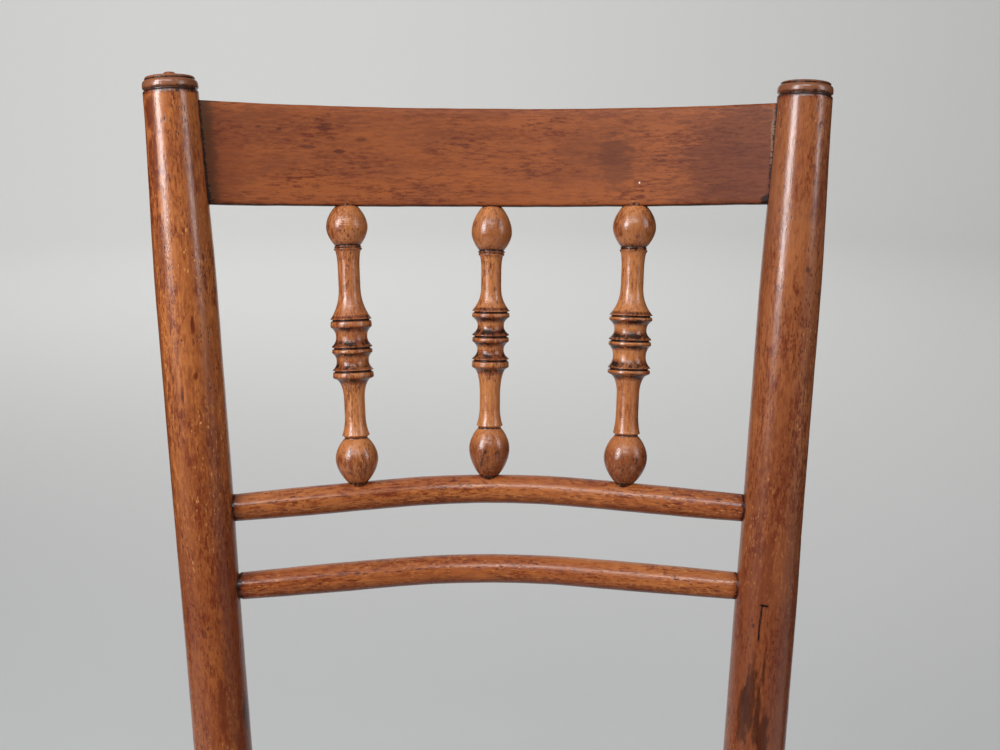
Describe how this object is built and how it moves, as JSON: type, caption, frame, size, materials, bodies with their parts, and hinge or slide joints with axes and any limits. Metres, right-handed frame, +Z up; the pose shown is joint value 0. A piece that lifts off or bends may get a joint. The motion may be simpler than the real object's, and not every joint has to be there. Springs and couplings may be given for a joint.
{
  "type": "spindle-back side chair",
  "caption": "Old side chair in worn varnished wood: round splayed back posts, bowed flat top rail, turned spindles over bowed round rails, caned seat.",
  "frame": {"origin": "centre of the bounding box at floor level, under the seat", "axes": "+Z up, the sitter faces -Y, +X to the right as seen from the front"},
  "size_m": [0.4, 0.505, 0.8447],
  "materials": {
    "polished_beech": "worn gloss varnish",
    "stained_beech": "worn satin varnish",
    "turned_beech": "worn gloss varnish",
    "cane": "natural satin"
  },
  "bodies": {
    "root": {"left_back_post": "polished_beech", "right_back_post": "polished_beech", "top_rail": "stained_beech", "upper_back_rail": "polished_beech", "lower_back_rail": "polished_beech", "left_spindle": "turned_beech", "middle_spindle": "turned_beech", "right_spindle": "turned_beech", "seat_front_board": "polished_beech", "seat_rear_board": "polished_beech", "seat_left_board": "polished_beech", "seat_right_board": "polished_beech", "cane_panel": "cane", "cane_binding_left": "cane", "cane_binding_right": "cane", "cane_binding_front": "cane", "cane_binding_rear": "cane", "left_front_leg": "polished_beech", "right_front_leg": "polished_beech", "front_upper_stretcher": "polished_beech", "front_lower_stretcher": "polished_beech", "left_upper_stretcher": "polished_beech", "left_lower_stretcher": "polished_beech", "right_upper_stretcher": "polished_beech", "right_lower_stretcher": "polished_beech", "rear_stretcher": "polished_beech"}
  },
  "joints": []
}
